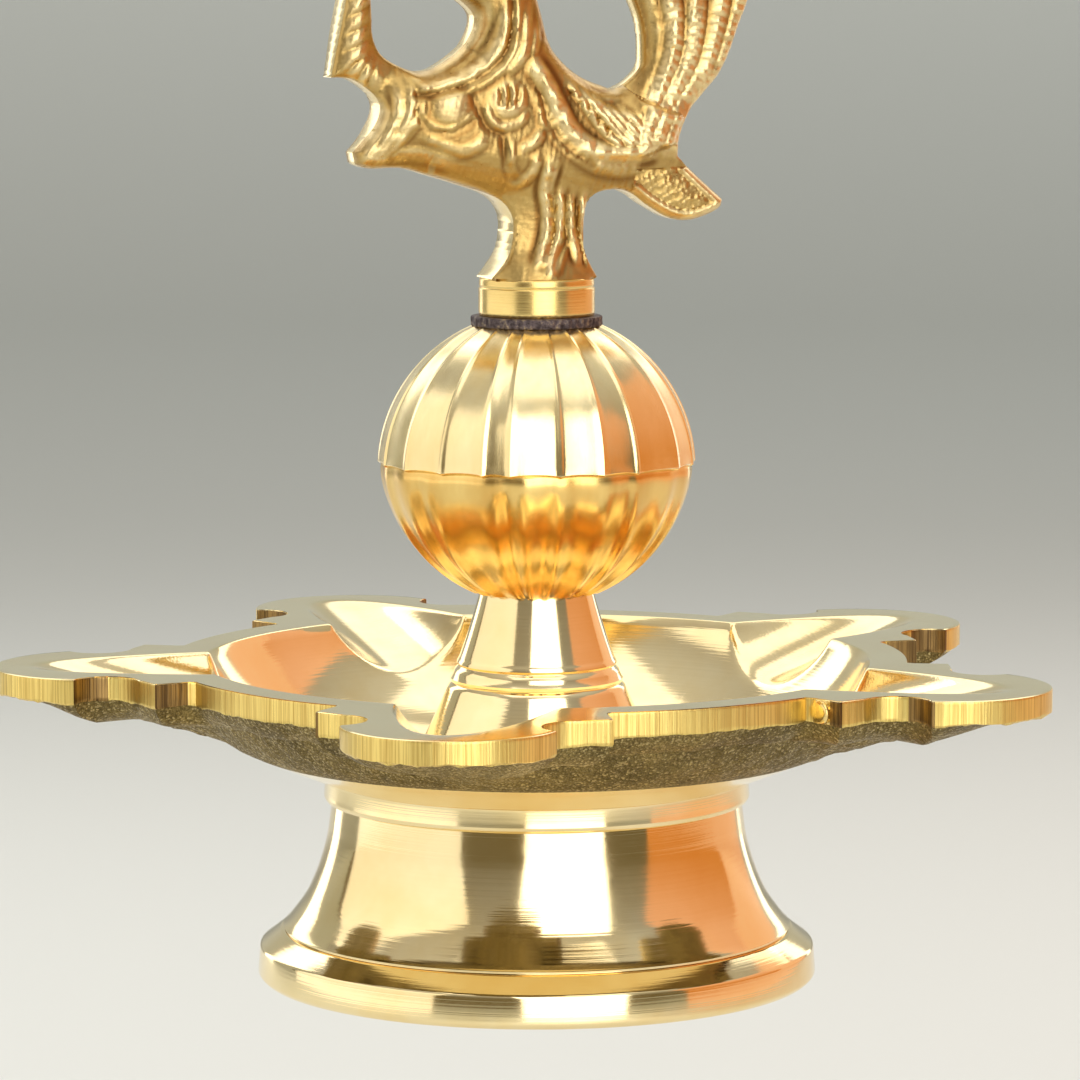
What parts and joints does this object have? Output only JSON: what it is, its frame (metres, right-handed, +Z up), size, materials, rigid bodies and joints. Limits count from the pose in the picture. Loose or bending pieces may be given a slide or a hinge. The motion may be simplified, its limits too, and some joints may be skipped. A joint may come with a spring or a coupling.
{
  "type": "hanging oil lamp",
  "caption": "Hanging brass oil lamp: lobed dish with wick channels on a hollow turned foot, waisted stem, fluted ball and cast bird, hung from a hook by an oval-link chain.",
  "frame": {"origin": "the point inside the top of the hook where it bears on its support, on the lamp axis", "axes": "+Z up along the hanging axis; +X in the plane of the hook and the bird, towards the tail; +Y away from the front face of the bird"},
  "size_m": [0.1256, 0.1233, 0.3532],
  "materials": {
    "polished_brass": "turned and polished",
    "cast_brass": "cast, brushed bright on the high relief",
    "wire_brass": "drawn wire, lightly polished",
    "dark_washer": "rough, darkened",
    "plain_steel": "plain turned"
  },
  "bodies": {
    "top_hook": {"top_hook": "wire_brass"},
    "chain_link_01": {"chain_link_01": "wire_brass"},
    "chain_link_02": {"chain_link_02": "wire_brass"},
    "chain_link_03": {"chain_link_03": "wire_brass"},
    "chain_link_04": {"chain_link_04": "wire_brass"},
    "chain_link_05": {"chain_link_05": "wire_brass"},
    "chain_link_06": {"chain_link_06": "wire_brass"},
    "chain_link_07": {"chain_link_07": "wire_brass"},
    "chain_link_08": {"chain_link_08": "wire_brass"},
    "chain_link_09": {"chain_link_09": "wire_brass"},
    "chain_link_10": {"chain_link_10": "wire_brass"},
    "suspension_ring": {"suspension_ring": "wire_brass"},
    "lamp": {"hanging_eye": "polished_brass", "bird": "cast_brass", "neck_washer": "dark_washer", "ball_upper": "polished_brass", "ball_lower": "polished_brass", "stem": "polished_brass", "dish": "polished_brass", "foot": "polished_brass", "tie_rod": "plain_steel", "nut_washer": "plain_steel", "nut": "plain_steel"}
  },
  "joints": [
    {"name": "chain_link_01_swing", "type": "hinge", "parent": "top_hook", "child": "chain_link_01", "pos_m": [0, 0, -0.04782], "axis": [1, 0, 0], "range_deg": [-60, 60]},
    {"name": "chain_link_02_swing", "type": "hinge", "parent": "chain_link_01", "child": "chain_link_02", "pos_m": [0, 0, -0.06048], "axis": [0, 1, 0], "range_deg": [-60, 60]},
    {"name": "chain_link_03_swing", "type": "hinge", "parent": "chain_link_02", "child": "chain_link_03", "pos_m": [0, 0, -0.07364], "axis": [-1, 0, 0], "range_deg": [-60, 60]},
    {"name": "chain_link_04_swing", "type": "hinge", "parent": "chain_link_03", "child": "chain_link_04", "pos_m": [0, 0, -0.0868], "axis": [0, -1, 0], "range_deg": [-60, 60]},
    {"name": "chain_link_05_swing", "type": "hinge", "parent": "chain_link_04", "child": "chain_link_05", "pos_m": [0, 0, -0.09995], "axis": [1, 0, 0], "range_deg": [-60, 60]},
    {"name": "chain_link_06_swing", "type": "hinge", "parent": "chain_link_05", "child": "chain_link_06", "pos_m": [0, 0, -0.11311], "axis": [0, 1, 0], "range_deg": [-60, 60]},
    {"name": "chain_link_07_swing", "type": "hinge", "parent": "chain_link_06", "child": "chain_link_07", "pos_m": [0, 0, -0.12627], "axis": [-1, 0, 0], "range_deg": [-60, 60]},
    {"name": "chain_link_08_swing", "type": "hinge", "parent": "chain_link_07", "child": "chain_link_08", "pos_m": [0, 0, -0.13943], "axis": [0, -1, 0], "range_deg": [-60, 60]},
    {"name": "chain_link_09_swing", "type": "hinge", "parent": "chain_link_08", "child": "chain_link_09", "pos_m": [0, 0, -0.15258], "axis": [1, 0, 0], "range_deg": [-60, 60]},
    {"name": "chain_link_10_swing", "type": "hinge", "parent": "chain_link_09", "child": "chain_link_10", "pos_m": [0, 0, -0.16574], "axis": [0, 1, 0], "range_deg": [-60, 60]},
    {"name": "suspension_ring_swing", "type": "hinge", "parent": "chain_link_10", "child": "suspension_ring", "pos_m": [0, 0, -0.1789], "axis": [-1, 0, 0], "range_deg": [-60, 60]},
    {"name": "lamp_swing", "type": "hinge", "parent": "suspension_ring", "child": "lamp", "pos_m": [0, 0, -0.18995], "axis": [0, -1, 0], "range_deg": [-45, 45]}
  ]
}
